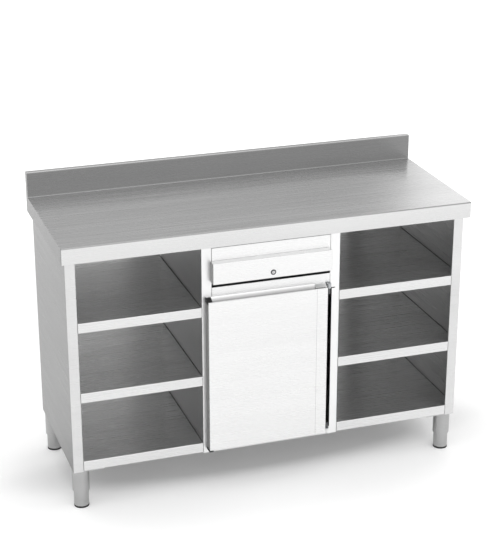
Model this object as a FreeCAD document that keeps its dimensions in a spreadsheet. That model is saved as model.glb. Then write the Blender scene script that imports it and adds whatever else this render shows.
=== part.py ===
"""Stainless steel coffee service counter: parametric FreeCAD model, millimetres.

The frame has +X to the right as the user faces the counter, +Y to its back and +Z up.
The origin lies on the floor, under the middle of the counter's overall box.
Folded sheet pieces are profiles padded along their bend lines, pans are padded and hollowed,
and round pieces are revolved.  Every size is bound to a cell of the sheet "sizes".
"""
import FreeCAD
import Part

import os
import re

import Sketcher

# ---------------------------------------------------------------------------------------------
# Driving dimensions: name, millimetres, meaning
# ---------------------------------------------------------------------------------------------
SIZES = [
    ("worktop_width", 1545, "worktop, end to end"),
    ("worktop_depth", 600, "worktop, front to back"),
    ("worktop_height", 1035, "floor to worktop surface"),
    ("apron_height", 60, "folded-down edge of the worktop"),
    ("apron_return", 14, "inward lip under the apron"),
    ("top_sheet", 1.5, "worktop sheet"),
    ("top_edge_radius", 4.5, "outer bend of the worktop edges"),
    ("cove_radius", 4, "bend between worktop and backsplash"),
    ("backsplash_height", 97, "backsplash above the worktop"),
    ("backsplash_depth", 26, "backsplash rim, front to back"),
    ("side_overhang", 15.5, "worktop past each side panel"),
    ("front_overhang", 28, "worktop past the front of the carcass"),
    ("back_setback", 20, "carcass rear to worktop rear"),
    ("leg_clearance", 155, "floor to underside of the carcass"),
    ("panel_sheet", 1.2, "carcass sheet"),
    ("back_sheet", 1, "back panel sheet"),
    ("bend_radius", 2.2, "outer bend of the carcass sheet"),
    ("stile_width", 38, "front face of every upright"),
    ("stile_lip", 12, "inward return of every upright"),
    ("rear_flange", 22, "rear flange of every upright"),
    ("top_flange", 20, "top flange of every upright"),
    ("channel_height", 30, "stiffening channels under the worktop"),
    ("channel_width", 60, "stiffening channels, front to back"),
    ("channel_inset", 24, "outer channels from the carcass front and rear"),
    ("module_width", 529, "centre module across its uprights"),
    ("shelf_face", 38, "front face of every shelf"),
    ("shelf_pitch", 271.5, "shelf to shelf"),
    ("shelf_return", 10, "inward lip under a shelf face"),
    ("floor_rise", 3, "bottom shelf face above the carcass underside"),
    ("fit_gap", 0.4, "clearance where a piece is slipped in"),
    ("door_rise", 21, "door bottom above the carcass underside"),
    ("door_overlap", 23.3, "door past the opening on its closing side"),
    ("door_inset", 19.3, "door short of the opening on its hinge side"),
    ("door_sheet", 1, "door and drawer front skins"),
    ("liner_sheet", 0.8, "door and drawer front liners"),
    ("front_thickness", 32, "door and drawer front, front to back"),
    ("front_gap", 1, "fronts in front of the uprights"),
    ("front_edge_radius", 1.5, "rounded front edges of door and drawer"),
    ("trough_depth", 12, "finger trough below the front lip"),
    ("trough_lip", 5, "front lip of the trough"),
    ("trough_width", 8, "level floor of the trough"),
    ("trough_wall", 2, "top edge of the sloping rear wall"),
    ("trough_rise", 11, "rear wall above the front lip"),
    ("trough_front_bend", 2.5, "inside bend behind the front lip"),
    ("trough_rear_bend", 10, "inside bend at the foot of the rear wall"),
    ("cap_length", 20, "trough end plug, end to end"),
    ("cap_flange", 2.5, "trough end plug outside the door"),
    ("cap_cover", 7, "trough end plug below the front lip"),
    ("end_block_length", 42, "steel block that ends the trough on the hinge side"),
    ("end_block_groove", 6, "groove between the front lip and the end block"),
    ("end_block_rise", 1, "front edge of the end block above the lip"),
    ("core_clearance", 0.5, "insulation core inside the door skins"),
    ("rail_gap", 8, "door top to drawer rail"),
    ("rail_height", 36.5, "drawer rail face"),
    ("rail_depth", 20, "drawer rail flanges"),
    ("grip_gap", 22.5, "finger gap between drawer rail and drawer front"),
    ("drawer_height", 79, "drawer front"),
    ("drawer_overlap", 4.5, "drawer front past the opening on the left"),
    ("drawer_inset", 5, "drawer front short of the opening on the right"),
    ("fascia_lap", 6, "fascia behind the top of the drawer front"),
    ("fascia_drop", 12, "fascia below the worktop apron"),
    ("fascia_height", 55, "fascia face"),
    ("fascia_depth", 15, "fascia flanges"),
    ("housing_rise", 4, "drawer housing above the drawer rail"),
    ("housing_height", 88, "drawer housing walls"),
    ("housing_length", 470, "drawer housing, front to back"),
    ("housing_start", 22, "drawer housing behind the upright faces"),
    ("box_rise", 3, "drawer box bottom above the drawer front bottom"),
    ("box_height", 64, "drawer box walls"),
    ("box_start", 14, "drawer box behind the upright faces"),
    ("box_length", 430, "drawer box, front to back"),
    ("box_sheet", 1, "drawer box sheet"),
    ("runner_height", 45, "telescopic runner"),
    ("runner_width", 12.7, "telescopic runner, housing to drawer box"),
    ("runner_sheet", 1.2, "runner steel"),
    ("runner_length", 440, "runner members"),
    ("runner_play", 0.35, "gap between nested runner members"),
    ("bracket_width", 22, "drawer front brackets, each flange"),
    ("bracket_height", 50, "drawer front brackets"),
    ("bracket_spacing", 300, "drawer front brackets, apart"),
    ("bracket_sheet", 1.5, "drawer front bracket sheet"),
    ("lock_rise", 22, "lock axis above the drawer bottom"),
    ("lock_rim", 2.5, "lock rim in front of the drawer front"),
    ("lock_rim_radius", 10.5, "lock rim"),
    ("lock_bevel", 1.5, "slope of the lock rim"),
    ("lock_barrel_radius", 8, "lock barrel"),
    ("lock_plug_radius", 5.5, "turning plug of the lock"),
    ("running_fit", 0.05, "radial clearance of a turning or sliding fit"),
    ("lock_nut_width", 22, "lock nut across flats"),
    ("lock_nut_thickness", 3.5, "lock nut"),
    ("key_slot_width", 1.4, "key slot"),
    ("key_slot_height", 6.5, "key slot"),
    ("cam_reach", 52, "lock cam from its axis"),
    ("cam_width", 12, "lock cam"),
    ("cam_sheet", 1.6, "lock cam"),
    ("cam_square", 6, "square end of the plug"),
    ("pivot_inset", 7, "door pivot axis from the opening's hinge side"),
    ("pivot_depth", 8, "door pivot axis in front of the upright faces"),
    ("pin_radius", 3, "door pivot pins"),
    ("knuckle_radius", 6, "door knuckles"),
    ("knuckle_height", 22, "door knuckles"),
    ("nose_radius", 9, "rounded nose of the hinge brackets"),
    ("upper_bracket_height", 18, "upper hinge bracket"),
    ("lower_bracket_height", 4, "lower hinge bracket"),
    ("pivot_play", 0.5, "gap between knuckle and bracket"),
    ("leaf_height", 56, "hinge leaf on the door side"),
    ("leaf_depth", 24, "hinge leaf on the door side"),
    ("leaf_sheet", 2, "hinge leaf"),
    ("arm_thickness", 7, "arm from leaf to knuckle"),
    ("jamb_cutback", 8, "hinge-side upright cut back beside the door"),
    ("relief_height", 4, "relief slit above the cut-back"),
    ("relief_width", 13, "relief slit past the cut-back"),
    ("relief_drop", 20, "relief slit below the drawer rail"),
    ("catch_width", 14, "magnetic catch"),
    ("catch_depth", 16, "magnetic catch"),
    ("catch_height", 46, "magnetic catch"),
    ("catch_drop", 60, "magnetic catch below the drawer rail"),
    ("catch_gap", 0.3, "catch magnet to its plate"),
    ("centre_floor_face", 27, "front face of the centre floor"),
    ("leg_inset", 48, "leg axis from the worktop end"),
    ("leg_front_inset", 67, "front leg axis behind the worktop front"),
    ("leg_rear_inset", 58, "rear leg axis in front of the worktop rear"),
    ("leg_radius", 31.75, "leg tube"),
    ("leg_wall", 1.5, "leg tube wall"),
    ("leg_bottom", 66, "floor to the bottom of the leg tube"),
    ("leg_plate", 3, "leg mounting plate"),
    ("leg_plate_size", 112, "leg mounting plate, each way"),
    ("guide_height", 12, "rolled-in end of the leg tube"),
    ("foot_radius", 27.6, "adjustable foot"),
    ("foot_wall", 2, "adjustable foot wall"),
    ("foot_height", 122, "adjustable foot, floor to top"),
    ("base_height", 7, "plastic base of the foot"),
    ("base_lip", 0.4, "plastic base past the foot"),
]

# Places that follow from the driving dimensions, by name
PLACES = {
    "front_proud": "front_thickness + front_gap - front_overhang + lock_rim",
    "worktop_front": "front_proud/2 - worktop_depth/2",
    "worktop_rear": "worktop_front + worktop_depth",
    "worktop_half": "worktop_width/2",
    "worktop_under": "worktop_height - top_sheet",
    "apron_bottom": "worktop_height - apron_height",
    "face_plane": "worktop_front + front_overhang",
    "carcass_rear": "worktop_rear - back_setback",
    "back_inner": "carcass_rear - panel_sheet - back_sheet",
    "side_outer": "worktop_width/2 - side_overhang",
    "side_stile": "side_outer - stile_width",
    "side_inner": "side_outer - panel_sheet",
    "module_outer": "module_width/2",
    "module_inner": "module_outer - panel_sheet",
    "opening_half": "module_outer - stile_width",
    "lip_rear": "face_plane + stile_lip",
    "panel_top": "worktop_under - channel_height",
    "floor_bottom": "leg_clearance + floor_rise",
    "floor_top": "floor_bottom + shelf_face",
    "bend_inner": "bend_radius - panel_sheet",
    "front_rear": "face_plane - front_gap",
    "front_face": "front_rear - front_thickness",
    "door_bottom": "leg_clearance + door_rise",
    "door_top": "rail_bottom - rail_gap",
    "door_left": "-opening_half - door_overlap",
    "door_right": "opening_half - door_inset",
    "trough_front": "front_face + trough_lip",
    "trough_rear": "front_rear - trough_wall",
    "trough_foot": "trough_front + trough_width",
    "trough_floor": "door_top - trough_depth",
    "trough_top": "door_top + trough_rise",
    "fascia_top": "apron_bottom - fascia_drop",
    "fascia_bottom": "fascia_top - fascia_height",
    "drawer_top": "fascia_bottom + fascia_lap",
    "drawer_bottom": "drawer_top - drawer_height",
    "rail_top": "drawer_bottom - grip_gap",
    "rail_bottom": "rail_top - rail_height",
    "drawer_left": "-opening_half - drawer_overlap",
    "drawer_right": "opening_half - drawer_inset",
    "housing_bottom": "rail_top + housing_rise",
    "housing_top": "housing_bottom + housing_height",
    "housing_front": "face_plane + housing_start",
    "housing_inner": "opening_half - panel_sheet",
    "box_half": "housing_inner - runner_width",
    "box_bottom": "drawer_bottom + box_rise",
    "box_front": "face_plane + box_start",
    "box_rear": "box_front + box_length",
    "runner_middle_z": "box_bottom + box_height/2",
    "lock_x": "(drawer_left + drawer_right)/2",
    "lock_z": "drawer_bottom + lock_rise",
    "nut_rear": "front_rear + lock_nut_thickness",
    "cam_front": "nut_rear + fit_gap",
    "cam_rear": "cam_front + cam_sheet",
    "pivot_x": "opening_half - pivot_inset",
    "pivot_y": "face_plane - pivot_depth",
    "jamb_edge": "opening_half + jamb_cutback",
    "relief_top": "rail_bottom - relief_drop",
    "centre_floor_top": "leg_clearance + centre_floor_face",
    "upper_bracket_bottom": "rail_bottom - upper_bracket_height",
    "lower_bracket_top": "centre_floor_top + lower_bracket_height",
    "catch_top": "rail_bottom - catch_drop",
    "leg_x": "worktop_width/2 - leg_inset",
    "front_leg_y": "worktop_front + leg_front_inset",
    "rear_leg_y": "worktop_rear - leg_rear_inset",
    "leg_top": "leg_clearance",
    "leg_bore": "leg_radius - leg_wall",
}

doc = FreeCAD.newDocument("coffee_service_counter")
sheet = doc.addObject("Spreadsheet::Sheet", "sizes")
for row, (alias, size, meaning) in enumerate(SIZES, start=1):
    sheet.set(f"A{row}", meaning)
    sheet.set(f"B{row}", str(size))
    sheet.setAlias(f"B{row}", alias)
doc.recompute()

WORD = re.compile(r"[a-z]+(?:_[a-z]+)*")
nodes = []


def spell(formula):
    """The formula as an expression on the cells of the sheet."""
    def word(match):
        name = match.group(0)
        if name in PLACES:
            return f"({spell(PLACES[name])})"
        return f"sizes.{name}"
    return WORD.sub(word, str(formula))


def number(formula):
    """The formula's present value."""
    return float(sheet.evalExpression(spell(formula)))


# ---------------------------------------------------------------------------------------------
# Modelling helpers
# ---------------------------------------------------------------------------------------------
AXES = {"XY": ("x", "y", "z"), "XZ": ("x", "z", "y"), "YZ": ("y", "z", "x")}


def new_body(label):
    body = doc.addObject("PartDesign::Body", label)
    body.Label = label
    return body


def sketch_on(body, plane, start, loops):
    """A sketch parallel to an origin plane, at start along its axis; loops are polygons or circles."""
    sketch = body.newObject("Sketcher::SketchObject", f"{body.Name}_sketch")
    origin = next(item for item in body.Origin.OriginFeatures if item.Role == f"{plane}_Plane")
    sketch.AttachmentSupport = [(origin, "")]
    sketch.MapMode = "FlatFace"
    sign = "-" if plane == "XZ" else ""
    sketch.setExpression("AttachmentOffset.Base.z", f"{sign}({spell(start)})")
    for loop in loops:
        if isinstance(loop, tuple):
            add_circle(sketch, *loop)
        else:
            add_polygon(sketch, loop)
    return sketch


def bind(sketch, kind, geometry, vertex, formula):
    """Holds one coordinate of a vertex at the formula's value, measured from the origin."""
    constraint = Sketcher.Constraint(kind, -1, 1, geometry, vertex, number(formula))
    index = sketch.addConstraint(constraint)
    sketch.setExpression(f"Constraints[{index}]", spell(formula))


def add_polygon(sketch, points):
    first = sketch.GeometryCount
    corners = [FreeCAD.Vector(number(u), number(v), 0) for u, v in points]
    for start, end in zip(corners, corners[1:] + corners[:1]):
        sketch.addGeometry(Part.LineSegment(start, end), False)
    count = len(points)
    for i in range(count):
        previous = first + (i - 1) % count
        sketch.addConstraint(Sketcher.Constraint("Coincident", previous, 2, first + i, 1))
    for i, (u, v) in enumerate(points):
        bind(sketch, "DistanceX", first + i, 1, u)
        bind(sketch, "DistanceY", first + i, 1, v)


def add_circle(sketch, u, v, radius):
    centre = FreeCAD.Vector(number(u), number(v), 0)
    circle = sketch.addGeometry(Part.Circle(centre, FreeCAD.Vector(0, 0, 1), number(radius)), False)
    bind(sketch, "DistanceX", circle, 3, u)
    bind(sketch, "DistanceY", circle, 3, v)
    index = sketch.addConstraint(Sketcher.Constraint("Radius", circle, number(radius)))
    sketch.setExpression(f"Constraints[{index}]", spell(radius))


def pad(body, plane, start, length, loops):
    """Adds material from start, along the positive axis."""
    feature = body.newObject("PartDesign::Pad", f"{body.Name}_pad")
    feature.Profile = sketch_on(body, plane, start, loops)
    feature.setExpression("Length", spell(length))
    feature.Reversed = plane == "XZ"
    body.Tip = feature
    doc.recompute()
    return feature


def pocket(body, plane, start, length, loops):
    """Cuts material from start, along the positive axis, and checks that it did."""
    before = body.Shape.Volume
    feature = body.newObject("PartDesign::Pocket", f"{body.Name}_pocket")
    feature.Profile = sketch_on(body, plane, start, loops)
    feature.setExpression("Length", spell(length))
    feature.Reversed = plane != "XZ"
    body.Tip = feature
    doc.recompute()
    if not body.Shape.Volume < before:
        raise RuntimeError(f"{feature.Label} cuts nothing")
    return feature


def edges_at(shape, places):
    """Names of the edges that lie wholly at each of the given coordinates."""
    goals = [{axis: number(formula) for axis, formula in place.items()} for place in places]
    names = []
    for index, edge in enumerate(shape.Edges, start=1):
        box = edge.BoundBox
        spans = {"x": (box.XMin, box.XMax), "y": (box.YMin, box.YMax), "z": (box.ZMin, box.ZMax)}
        for goal in goals:
            if all(abs(end - aim) < 0.02 for axis, aim in goal.items() for end in spans[axis]):
                names.append(f"Edge{index}")
                break
    return names


def round_off(body, radius, places):
    """Fillets the edges that lie at the given coordinates."""
    base = body.Tip
    names = edges_at(base.Shape, places)
    if not names:
        raise RuntimeError(f"{body.Label} has no edge to round")
    feature = body.newObject("PartDesign::Fillet", f"{body.Name}_bends")
    feature.Base = (base, names)
    feature.setExpression("Radius", spell(radius))
    body.Tip = feature
    doc.recompute()
    return feature


def rectangle(left, low, right, high):
    return [(left, low), (right, low), (right, high), (left, high)]


def turn(a, b, c):
    """Positive where the way from a over b to c turns left."""
    return (b[0] - a[0]) * (c[1] - b[1]) - (b[1] - a[1]) * (c[0] - b[0])


def direction(a, b):
    """Unit step along a straight run that follows one of the two axes."""
    du, dv = b[0] - a[0], b[1] - a[1]
    if abs(du) > abs(dv):
        return (1 if du > 0 else -1), 0
    return 0, (1 if dv > 0 else -1)


def shifted(point, normals, distance):
    """The point moved by the distance along each of the normals."""
    du, dv = (sum(normal[i] for normal in normals) for i in (0, 1))
    return f"{point[0]} + {du}*({distance})", f"{point[1]} + {dv}*({distance})"


def inset(outline, thickness):
    """A right-angled outline, drawn anticlockwise, moved inwards by the sheet's thickness."""
    spots = [(number(u), number(v)) for u, v in outline]
    steps = [direction(a, b) for a, b in zip(spots, spots[1:] + spots[:1])]
    normals = [(-dv, du) for du, dv in steps]
    return [shifted(point, (normals[i - 1], normals[i]), thickness)
            for i, point in enumerate(outline)]


def folded(label, plane, start, length, path, side, sheet_name="panel_sheet", bends="both"):
    """A sheet folded at right angles along path; its thickness lies to the left for side 1.

    Its bends are rounded on both faces, on the outer face alone, or not at all.
    """
    spots = [(number(u), number(v)) for u, v in path]
    steps = [direction(a, b) for a, b in zip(spots, spots[1:])]
    normals = [(-side * dv, side * du) for du, dv in steps]
    inner = [shifted(point, normals[max(i - 1, 0):i + 1], sheet_name) for i, point in enumerate(path)]
    body = new_body(label)
    pad(body, plane, start, length, [path + inner[::-1]])
    if bends == "none":
        return body
    first, second, _ = AXES[plane]
    outer_bends = []
    inner_bends = []
    for i in range(1, len(path) - 1):
        outer, inside = path[i], inner[i]
        if turn(*spots[i - 1:i + 2]) * side < 0:
            outer, inside = inside, outer
        outer_bends.append({first: outer[0], second: outer[1]})
        inner_bends.append({first: inside[0], second: inside[1]})
    round_off(body, f"bend_radius - panel_sheet + {sheet_name}", outer_bends)
    if bends == "both":
        round_off(body, "bend_inner", inner_bends)
    return body


def pan(label, outline, bottom, height, sheet_name="panel_sheet", opens="down"):
    """A shallow pan with walls all round, open below or above."""
    body = new_body(label)
    pad(body, "XY", bottom, height, [outline])
    floor = bottom if opens == "down" else f"{bottom} + {sheet_name}"
    pocket(body, "XY", floor, f"{height} - {sheet_name}", [inset(outline, sheet_name)])
    return body


def turned(label, section, place, axis="z"):
    """A round piece: section in (radius, height), turned about an axis through place."""
    body = new_body(label)
    plane = "XZ" if axis == "z" else "XY"
    sketch = sketch_on(body, plane, "0", [section])
    feature = body.newObject("PartDesign::Revolution", f"{body.Name}_turning")
    feature.Profile = sketch
    feature.ReferenceAxis = (sketch, ["V_Axis"])
    feature.Angle = 360
    body.Tip = feature
    for name, formula in zip("xyz", place):
        body.setExpression(f"Placement.Base.{name}", spell(formula))
    doc.recompute()
    return body


def mirrored(label, source):
    """The source's twin on the other side of the middle plane."""
    twin = doc.addObject("Part::Mirroring", label)
    twin.Source = source
    twin.Normal = FreeCAD.Vector(1, 0, 0)
    twin.Label = label
    doc.recompute()
    return twin


def grouped(label, members):
    group = doc.addObject("Part::Compound", label)
    group.Links = members
    group.Label = label
    doc.recompute()
    return group


def keep(*pieces):
    """Marks finished sub-parts, each of which becomes a file of its own."""
    nodes.extend(pieces)
    return pieces[0]


# ---------------------------------------------------------------------------------------------
# Worktop: one folded sheet with aprons, backsplash and rim, and the channels under it
# ---------------------------------------------------------------------------------------------
def make_worktop():
    body = new_body("worktop")
    plan = rectangle("-worktop_half", "worktop_front", "worktop_half", "worktop_rear")
    pad(body, "XY", "apron_bottom", "apron_height", [plan])
    splash_front = "worktop_rear - backsplash_depth"
    splash = rectangle("-worktop_half", splash_front, "worktop_half", "worktop_rear")
    pad(body, "XY", "worktop_height", "backsplash_height", [splash])
    splash_top = "worktop_height + backsplash_height"
    round_off(body, "cove_radius", [{"y": splash_front, "z": "worktop_height"}])
    round_off(body, "top_edge_radius", [
        {"x": "-worktop_half", "y": "worktop_front"},
        {"x": "worktop_half", "y": "worktop_front"},
        {"y": "worktop_front", "z": "worktop_height"},
        {"y": splash_front, "z": splash_top},
        {"y": "worktop_rear", "z": splash_top},
    ])
    inside = rectangle("-worktop_half + top_sheet", "worktop_front + top_sheet",
                       "worktop_half - top_sheet", "worktop_rear - top_sheet")
    pocket(body, "XY", "apron_bottom", "apron_height - top_sheet", [inside])
    hollow = rectangle("-worktop_half + top_sheet", f"{splash_front} + top_sheet",
                       "worktop_half - top_sheet", "worktop_rear - top_sheet")
    pocket(body, "XY", "worktop_under - top_sheet", "backsplash_height + top_sheet", [hollow])
    lip = rectangle("-worktop_half + top_sheet", "worktop_front + top_sheet",
                    "worktop_half - top_sheet", "worktop_front + top_sheet + apron_return")
    pad(body, "XY", "apron_bottom", "top_sheet", [lip])
    keep(body)

    fronts = ["face_plane + channel_inset",
              "(face_plane + carcass_rear - channel_width)/2",
              "carcass_rear - channel_inset - channel_width"]
    channels = []
    for index, front in enumerate(fronts, start=1):
        rear = f"{front} + channel_width"
        path = [(f"{front} - 12", "worktop_under - panel_sheet"), (front, "worktop_under - panel_sheet"),
                (front, "panel_top"), (rear, "panel_top"),
                (rear, "worktop_under - panel_sheet"), (f"{rear} + 12", "worktop_under - panel_sheet")]
        channels.append(folded(f"channel_{index}", "YZ", "-side_inner", "2*side_inner",
                               path, 1, bends="none"))
    keep(grouped("worktop_channels", channels))


# ---------------------------------------------------------------------------------------------
# Carcass: uprights, back panels, shelves, rail, fascia and drawer housing
# ---------------------------------------------------------------------------------------------
def make_upright(label, outer):
    """A left-hand upright: stile with its lip, web and rear flange, and a top flange."""
    edge = f"-({outer}) + stile_width"
    path = [(edge, "lip_rear"), (edge, "face_plane"), (f"-({outer})", "face_plane"),
            (f"-({outer})", "carcass_rear"), (f"-({outer}) + rear_flange", "carcass_rear")]
    body = folded(label, "XY", "leg_clearance", "panel_top - leg_clearance", path, -1)
    web = f"-({outer}) + panel_sheet"
    flange = rectangle(web, "lip_rear", f"-({outer}) + top_flange", "carcass_rear - rear_flange")
    pad(body, "XY", "panel_top - panel_sheet", "panel_sheet", [flange])
    return body


def make_uprights():
    side_left = keep(make_upright("side_panel_left", "side_outer"))
    keep(mirrored("side_panel_right", side_left))
    partition_left = keep(make_upright("partition_left", "module_outer"))

    # The hinge-side upright is cut back beside the door and folded again, under a relief slit.
    body = make_upright("partition_right_blank", "module_outer")
    cut_height = "relief_top - centre_floor_top"
    cut = rectangle("-jamb_edge", "face_plane - fit_gap", "-opening_half + fit_gap", "lip_rear + fit_gap")
    pocket(body, "XY", "centre_floor_top", cut_height, [cut])
    slit = rectangle("-jamb_edge - relief_width", "face_plane - fit_gap",
                     "-jamb_edge", "face_plane + panel_sheet + fit_gap")
    pocket(body, "XY", "relief_top - relief_height", "relief_height", [slit])
    lip = rectangle("-jamb_edge - panel_sheet", "face_plane + panel_sheet", "-jamb_edge", "lip_rear")
    pad(body, "XY", "centre_floor_top", f"{cut_height} - relief_height", [lip])
    keep(mirrored("partition_right", body))
    return partition_left


def make_back_panels():
    """Flat sheets in front of the rear flanges."""
    low, high = "leg_clearance + fit_gap", "panel_top - panel_sheet - fit_gap"
    bend = "bend_inner + fit_gap"
    spans = {"back_panel_left": (f"-side_inner + {bend}", "-module_outer - fit_gap"),
             "back_panel_centre": (f"-module_inner + {bend}", f"module_inner - ({bend})"),
             "back_panel_right": ("module_outer + fit_gap", f"side_inner - ({bend})")}
    for label, (left, right) in spans.items():
        body = new_body(label)
        pad(body, "XZ", "back_inner", "back_sheet", [rectangle(left, low, right, high)])
        keep(body)


def make_shelf(label, top):
    """A left-hand shelf pan, notched round the stile, flush with it in front."""
    corner = "lip_rear + fit_gap"
    outline = [("-side_stile", "face_plane"), ("-module_outer", "face_plane"),
               ("-module_outer", "back_inner"), ("-side_inner", "back_inner"),
               ("-side_inner", corner), ("-side_stile", corner)]
    bottom = f"{top} - shelf_face"
    body = pan(label, outline, bottom, "shelf_face")
    lip = rectangle("-side_stile + panel_sheet", "face_plane + panel_sheet",
                    "-module_outer - panel_sheet", "face_plane + panel_sheet + shelf_return")
    pad(body, "XY", bottom, "panel_sheet", [lip])
    round_off(body, "bend_radius", [{"y": "face_plane", "z": top}, {"y": "face_plane", "z": bottom}])
    return body


def make_shelves():
    tops = {"floor": "floor_top", "shelf_lower": "floor_top + shelf_pitch",
            "shelf_upper": "floor_top + 2*shelf_pitch"}
    for name, top in tops.items():
        left = keep(make_shelf(f"left_{name}", top))
        keep(mirrored(f"right_{name}", left))

    corner = "lip_rear + fit_gap"
    outline = [("-opening_half", "face_plane"), ("opening_half", "face_plane"),
               ("opening_half", corner), ("module_inner", corner), ("module_inner", "back_inner"),
               ("-module_inner", "back_inner"), ("-module_inner", corner), ("-opening_half", corner)]
    body = pan("centre_floor", outline, "leg_clearance", "centre_floor_face")
    round_off(body, "bend_radius", [{"y": "face_plane", "z": "centre_floor_top"}])
    keep(body)


def make_rail_and_fascia():
    rear = "face_plane + rail_depth"
    path = [(rear, "rail_bottom"), ("face_plane", "rail_bottom"), ("face_plane", "rail_top"),
            (rear, "rail_top")]
    left, span = "-opening_half + fit_gap", "2*(opening_half - fit_gap)"
    rail = folded("drawer_rail", "YZ", left, span, path, -1)
    strike = rectangle("lock_x - cam_width", "cam_front - 1.5", "lock_x + 36", "cam_rear + 1.5")
    pocket(rail, "XY", "rail_top - panel_sheet - 1", "panel_sheet + 2", [strike])
    keep(rail)

    rear = "face_plane + fascia_depth"
    path = [(rear, "fascia_bottom"), ("face_plane", "fascia_bottom"), ("face_plane", "fascia_top"),
            (rear, "fascia_top")]
    keep(folded("fascia", "YZ", left, span, path, -1))

    half = "opening_half"
    path = [("-module_inner", "housing_top"), (f"-{half}", "housing_top"),
            (f"-{half}", "housing_bottom"), (half, "housing_bottom"),
            (half, "housing_top"), ("module_inner", "housing_top")]
    keep(folded("drawer_housing", "XZ", "housing_front", "housing_length", path, 1, bends="outer"))


# ---------------------------------------------------------------------------------------------
# Drawer: runners, box, hollow front and cam lock
# ---------------------------------------------------------------------------------------------
def make_runners():
    """Three nested channels on each side; distances are counted inwards from the housing wall."""
    wall = "-housing_inner"
    half = "runner_height/2"
    nest = "runner_sheet + runner_play"
    members = {
        "runner_fixed": ("0", f"{half}", "runner_width - 0.5", 1),
        "runner_middle": (nest, f"{half} - ({nest})", "runner_width - 1.6", 1),
        "runner_inner": ("runner_width", f"{half} - 2*({nest})", f"2*({nest})", -1),
    }
    for name, (web, reach, tip, side) in members.items():
        web_x, tip_x = f"{wall} + {web}", f"{wall} + {tip}"
        low, high = f"runner_middle_z - ({reach})", f"runner_middle_z + ({reach})"
        path = [(tip_x, low), (web_x, low), (web_x, high), (tip_x, high)]
        left = folded(f"{name}_left", "XZ", "housing_front + 2", "runner_length",
                      path, -side, "runner_sheet", bends="outer")
        keep(left)
        keep(mirrored(f"{name}_right", left))


def make_drawer():
    outline = rectangle("-box_half", "box_front", "box_half", "box_rear")
    keep(pan("drawer_box", outline, "box_bottom", "box_height", "box_sheet", opens="up"))

    front = new_body("drawer_front")
    face = rectangle("drawer_left", "drawer_bottom", "drawer_right", "drawer_top")
    pad(front, "XZ", "front_face", "front_thickness", [face])
    round_off(front, "front_edge_radius", [
        {"x": "drawer_left", "y": "front_face"}, {"x": "drawer_right", "y": "front_face"},
        {"z": "drawer_bottom", "y": "front_face"}, {"z": "drawer_top", "y": "front_face"}])
    pocket(front, "XZ", "front_face + door_sheet", "front_thickness - door_sheet",
           [inset(face, "door_sheet")])
    hole = ("lock_x", "lock_z", "lock_barrel_radius + running_fit")
    pocket(front, "XZ", "front_face - 1", "front_thickness", [hole])
    keep(front)

    liner = new_body("drawer_front_liner")
    inner = inset(face, "door_sheet + fit_gap/4")
    pad(liner, "XZ", "front_rear - liner_sheet", "liner_sheet", [inner])
    pocket(liner, "XZ", "front_rear - liner_sheet - 1", "liner_sheet + 2", [hole])
    keep(liner)

    brackets = []
    for side, name in ((-1, "left"), (1, "right")):
        inner_x = f"{side}*bracket_spacing/2"
        outer_x = f"{inner_x} + {side}*bracket_width"
        far_x = f"{inner_x} - {side}*bracket_width"
        path = [(outer_x, "front_rear"), (inner_x, "front_rear"), (inner_x, "box_front"),
                (far_x, "box_front")]
        low = "(drawer_bottom + drawer_top - bracket_height)/2"
        brackets.append(bracket_strip(f"front_bracket_{name}", low, path, side))
    keep(grouped("drawer_front_brackets", brackets))


def bracket_strip(label, low, path, side):
    """A Z-shaped bracket between the drawer front and the drawer box."""
    (outer_x, front), (inner_x, _), (_, rear), (far_x, _) = path
    t = "bracket_sheet"
    edge = f"{inner_x} + {side}*{t}"
    outline = [(outer_x, front), (inner_x, front), (inner_x, f"{rear} - {t}"),
               (far_x, f"{rear} - {t}"), (far_x, rear), (edge, rear),
               (edge, f"{front} + {t}"), (outer_x, f"{front} + {t}")]
    body = new_body(label)
    pad(body, "XY", low, "bracket_height", [outline])
    return body


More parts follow.
